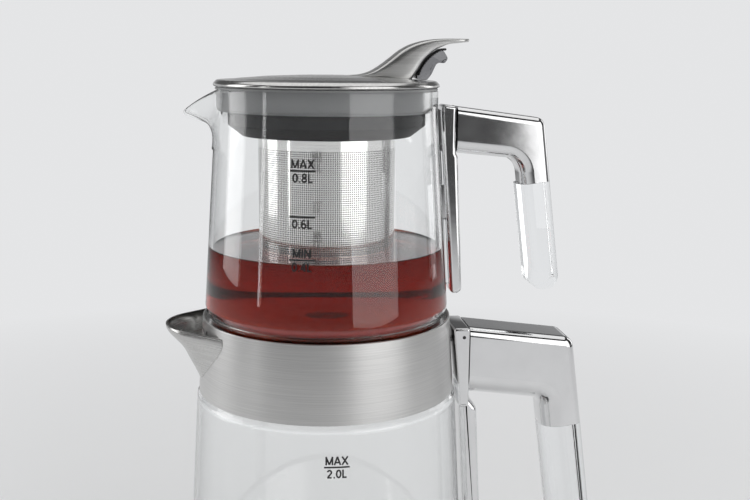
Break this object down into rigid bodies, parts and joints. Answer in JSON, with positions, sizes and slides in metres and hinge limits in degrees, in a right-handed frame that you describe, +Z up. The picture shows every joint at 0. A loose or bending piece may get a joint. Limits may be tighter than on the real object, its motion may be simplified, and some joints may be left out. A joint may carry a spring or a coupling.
{
  "type": "automatic tea maker",
  "caption": "Two-stage electric tea maker: glass teapot with strainer and lid standing in the steel collar of a glass kettle with spout, on a power base with push buttons.",
  "frame": {"origin": "on the resting plane under the kettle's vertical axis", "axes": "+Z up, both handles towards +X, both spouts towards -X, the control panel towards -Y"},
  "size_m": [0.2303, 0.2115, 0.3773],
  "materials": {
    "steel": "brushed stainless steel",
    "chrome_trim": "polished chrome plating",
    "screw_steel": "plain steel",
    "black_plastic": "satin black",
    "white_plastic": "plain",
    "button_grey": "satin grey",
    "board_green": "lacquered board",
    "brass_contact": "bright",
    "aluminium_heater": "as cast",
    "rubber_feet": "matte",
    "grey_silicone": "matte silicone",
    "clear_silicone": "translucent silicone",
    "clear_glass": "clear borosilicate",
    "clear_acrylic": "clear acrylic"
  },
  "bodies": {
    "power_base": {"base_tray": "black_plastic", "base_cover": "black_plastic", "base_socket": "black_plastic", "socket_contacts": "brass_contact", "socket_ring": "grey_silicone", "circuit_board": "board_green", "key_switches": "black_plastic", "board_parts": "black_plastic", "indicator_windows": "clear_acrylic", "base_feet": "rubber_feet", "base_screws": "screw_steel", "cord_plate": "black_plastic", "cord_gland": "rubber_feet"},
    "boil_key": {"button_boil": "button_grey"},
    "brew_key": {"button_brew": "button_grey"},
    "warm_key": {"button_warm": "button_grey"},
    "carrier": {"kettle_connector": "black_plastic"},
    "kettle": {"kettle_skirt": "steel", "kettle_bottom": "black_plastic", "kettle_bottom_screws": "screw_steel", "heating_plate": "steel", "heating_element": "aluminium_heater", "thermostat": "white_plastic", "glass_seal": "grey_silicone", "kettle_glass": "clear_glass", "collar_seal": "grey_silicone", "collar": "steel", "seat_ring": "steel", "kettle_spout": "steel", "kettle_handle_arm": "chrome_trim", "kettle_handle_grip": "clear_acrylic", "kettle_handle_spine": "chrome_trim", "kettle_handle_screws": "screw_steel"},
    "teapot": {"teapot_glass": "clear_glass", "teapot_handle_arm": "chrome_trim", "teapot_handle_grip": "clear_acrylic", "teapot_handle_spine": "chrome_trim", "bond_pads": "clear_acrylic", "teapot_handle_screws": "screw_steel"},
    "strainer": {"strainer_basket": "steel", "strainer_ring": "black_plastic", "rim_seal": "clear_silicone"},
    "lid": {"lid_cover": "steel", "lid_liner": "black_plastic", "lid_lever": "chrome_trim", "lid_lever_insert": "clear_acrylic", "lid_screws": "screw_steel"}
  },
  "joints": [
    {"name": "kettle_lift", "type": "slide", "parent": "power_base", "child": "carrier", "axis": [0, 0, 1], "range_m": [0, 0.15]},
    {"name": "kettle_turn", "type": "hinge", "parent": "carrier", "child": "kettle", "pos_m": [0, 0, 0.025], "axis": [0, 0, 1], "continuous": true},
    {"name": "teapot_lift", "type": "slide", "parent": "kettle", "child": "teapot", "axis": [0, 0, 1], "range_m": [0, 0.15]},
    {"name": "strainer_lift", "type": "slide", "parent": "teapot", "child": "strainer", "axis": [0, 0, 1], "range_m": [0, 0.12]},
    {"name": "lid_lift", "type": "slide", "parent": "strainer", "child": "lid", "axis": [0, 0, 1], "range_m": [0, 0.08]},
    {"name": "boil_press", "type": "slide", "parent": "power_base", "child": "boil_key", "axis": [0, 0, -1], "range_m": [0, 0.0008], "stiffness_N_per_m": 1000, "springref_m": -0.0006},
    {"name": "brew_press", "type": "slide", "parent": "power_base", "child": "brew_key", "axis": [0, 0, -1], "range_m": [0, 0.0008], "stiffness_N_per_m": 1000, "springref_m": -0.0006},
    {"name": "warm_press", "type": "slide", "parent": "power_base", "child": "warm_key", "axis": [0, 0, -1], "range_m": [0, 0.0008], "stiffness_N_per_m": 1000, "springref_m": -0.0006}
  ]
}
